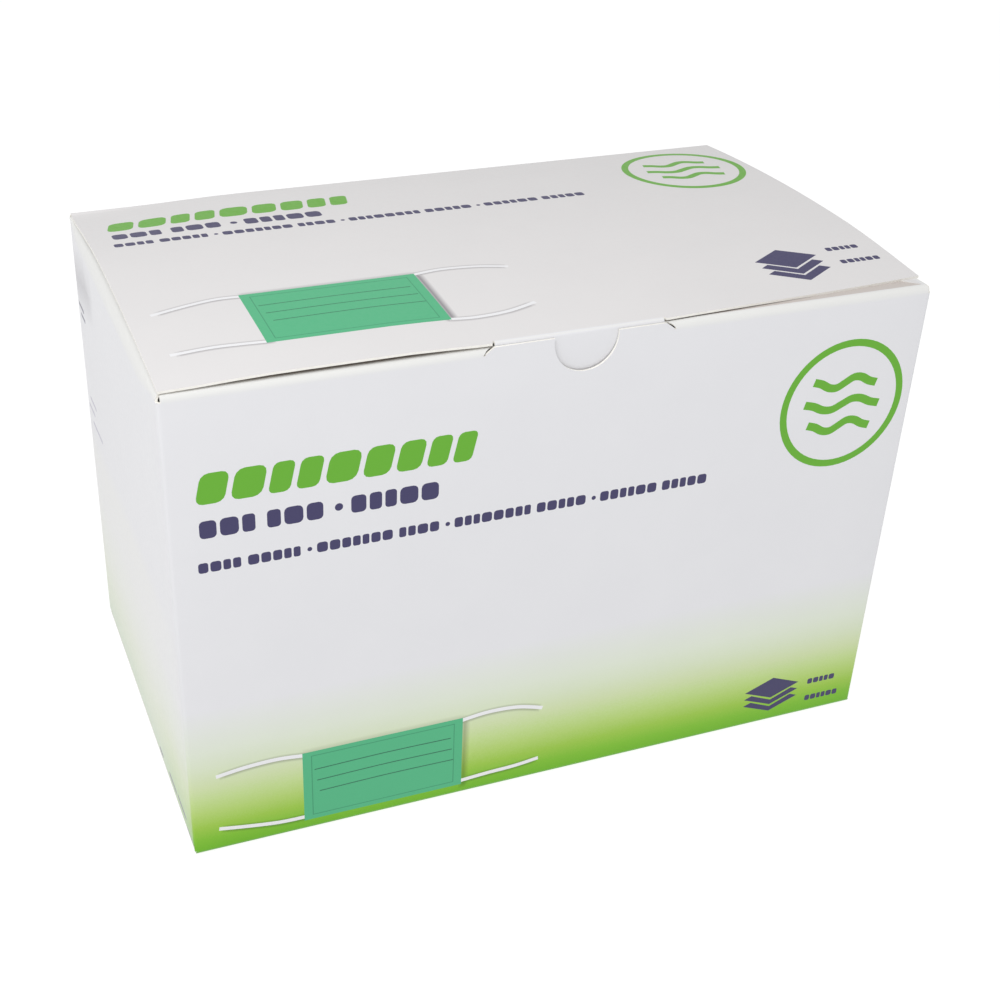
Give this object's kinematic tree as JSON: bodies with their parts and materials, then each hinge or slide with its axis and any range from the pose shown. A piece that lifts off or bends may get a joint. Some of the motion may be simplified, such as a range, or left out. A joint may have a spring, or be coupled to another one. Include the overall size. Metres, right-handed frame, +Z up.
{
  "type": "folding carton for face masks",
  "caption": "Rectangular folding carton with a hinged lid whose tongue tucks into a slit behind a thumb notch, over a front flap and two dust flaps.",
  "frame": {"origin": "middle of the base, on the surface it stands on", "axes": "+X along the front to the right, +Y from the front to the back, +Z up"},
  "size_m": [0.19, 0.113, 0.1298],
  "materials": {
    "printed_wall": "white coated board, printed, with a green band fading up from the base",
    "coated_board": "white coated board, printed, satin",
    "plain_board": "uncoated grey-white inside of the board, matt"
  },
  "bodies": {
    "sleeve": {"front_panel": "printed_wall", "back_panel": "printed_wall", "left_panel": "printed_wall", "right_panel": "printed_wall", "glue_seam_flap": "plain_board", "outer_base_flap": "coated_board", "inner_base_flap": "plain_board", "left_base_flap": "plain_board", "right_base_flap": "plain_board"},
    "lid": {"lid_panel": "coated_board"},
    "tuck": {"tongue": "coated_board"},
    "front_closure": {"front_flap": "coated_board"},
    "left_dust": {"left_dust_flap": "coated_board"},
    "right_dust": {"right_dust_flap": "coated_board"}
  },
  "joints": [
    {"name": "lid_hinge", "type": "hinge", "parent": "sleeve", "child": "lid", "pos_m": [0, 0.05618, 0.12678], "axis": [-1, 0, 0], "range_deg": [0, 180]},
    {"name": "tongue_fold", "type": "hinge", "parent": "lid", "child": "tuck", "pos_m": [0.0013, -0.05538, 0.12748], "axis": [-1, 0, 0], "range_deg": [0, 90]},
    {"name": "front_flap_fold", "type": "hinge", "parent": "sleeve", "child": "front_closure", "pos_m": [0, -0.05622, 0.12652], "axis": [1, 0, 0], "range_deg": [0, 90]},
    {"name": "left_dust_fold", "type": "hinge", "parent": "sleeve", "child": "left_dust", "pos_m": [-0.09436, 0, 0.12616], "axis": [0, -1, 0], "range_deg": [0, 90]},
    {"name": "right_dust_fold", "type": "hinge", "parent": "sleeve", "child": "right_dust", "pos_m": [0.09436, 0, 0.12616], "axis": [0, 1, 0], "range_deg": [0, 90]}
  ],
  "couplings": [
    {"joint": "tongue_fold", "follows": "lid_hinge", "ratio": 0.5},
    {"joint": "front_flap_fold", "follows": "lid_hinge", "ratio": 0.5},
    {"joint": "left_dust_fold", "follows": "lid_hinge", "ratio": 0.5},
    {"joint": "right_dust_fold", "follows": "lid_hinge", "ratio": 0.5}
  ]
}
